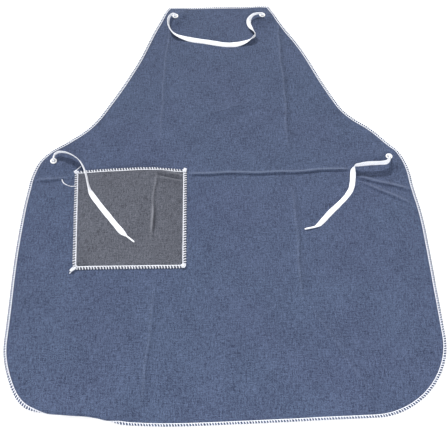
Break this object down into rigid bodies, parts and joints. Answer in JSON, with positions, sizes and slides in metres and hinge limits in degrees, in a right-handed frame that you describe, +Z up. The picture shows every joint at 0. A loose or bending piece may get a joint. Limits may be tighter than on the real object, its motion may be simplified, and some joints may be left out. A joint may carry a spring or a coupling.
{
  "type": "welding apron",
  "caption": "Denim bib apron with overlocked edges, a patch pocket, a neck tape and two waist ties held in eyelets.",
  "frame": {"origin": "under the middle of the apron, on the surface it lies on", "axes": "+X to the right seen from the front, +Y from the hem to the bib, +Z up out of the front of the cloth"},
  "size_m": [0.711, 0.914, 0.0189],
  "materials": {
    "denim": "matte",
    "pocket_denim": "matte",
    "thread": "matte",
    "cotton_tape": "matte",
    "eyelet_enamel": "satin",
    "washer_metal": "satin",
    "tip_film": "gloss"
  },
  "bodies": {
    "skirt": {"skirt_panel": "denim", "pocket_panel": "pocket_denim", "left_side_overlock": "thread", "right_side_overlock": "thread", "hem_overlock": "thread", "pocket_mouth_overlock": "thread", "pocket_left_overlock": "thread", "pocket_right_overlock": "thread", "pocket_bottom_overlock": "thread", "pocket_seam": "thread", "pocket_tack_top_left": "thread", "pocket_tack_top_right": "thread", "pocket_tack_bottom_left": "thread", "pocket_tack_bottom_right": "thread", "left_waist_eyelet": "eyelet_enamel", "right_waist_eyelet": "eyelet_enamel", "left_waist_washer": "washer_metal", "right_waist_washer": "washer_metal", "left_waist_knot": "cotton_tape", "right_waist_knot": "cotton_tape", "loose_thread": "thread", "mouth_thread_end": "thread", "bottom_thread_end": "thread"},
    "bib": {"bib_panel": "denim", "bib_top_overlock": "thread", "left_armhole_overlock": "thread", "right_armhole_overlock": "thread", "left_neck_eyelet": "eyelet_enamel", "right_neck_eyelet": "eyelet_enamel", "left_neck_washer": "washer_metal", "right_neck_washer": "washer_metal", "left_neck_knot": "cotton_tape", "right_neck_knot": "cotton_tape"},
    "neck_loop": {"neck_tape": "cotton_tape"},
    "left_waist_tie": {"left_tie": "cotton_tape", "left_tie_tip": "tip_film"},
    "right_waist_tie": {"right_tie": "cotton_tape", "right_tie_tip": "tip_film"}
  },
  "joints": [
    {"name": "bib_fold", "type": "hinge", "parent": "skirt", "child": "bib", "pos_m": [0, 0.108, 0.007], "axis": [1, 0, 0], "range_deg": [0, 165]},
    {"name": "neck_tape_swing", "type": "hinge", "parent": "bib", "child": "neck_loop", "pos_m": [0, 0.426, 0.012], "axis": [-1, 0, 0], "range_deg": [0, 170]},
    {"name": "left_tie_swing", "type": "hinge", "parent": "skirt", "child": "left_waist_tie", "pos_m": [-0.311, 0.046, 0.012], "axis": [0, -1, 0], "range_deg": [0, 170]},
    {"name": "right_tie_swing", "type": "hinge", "parent": "skirt", "child": "right_waist_tie", "pos_m": [0.311, 0.046, 0.012], "axis": [0, 1, 0], "range_deg": [0, 170]}
  ]
}
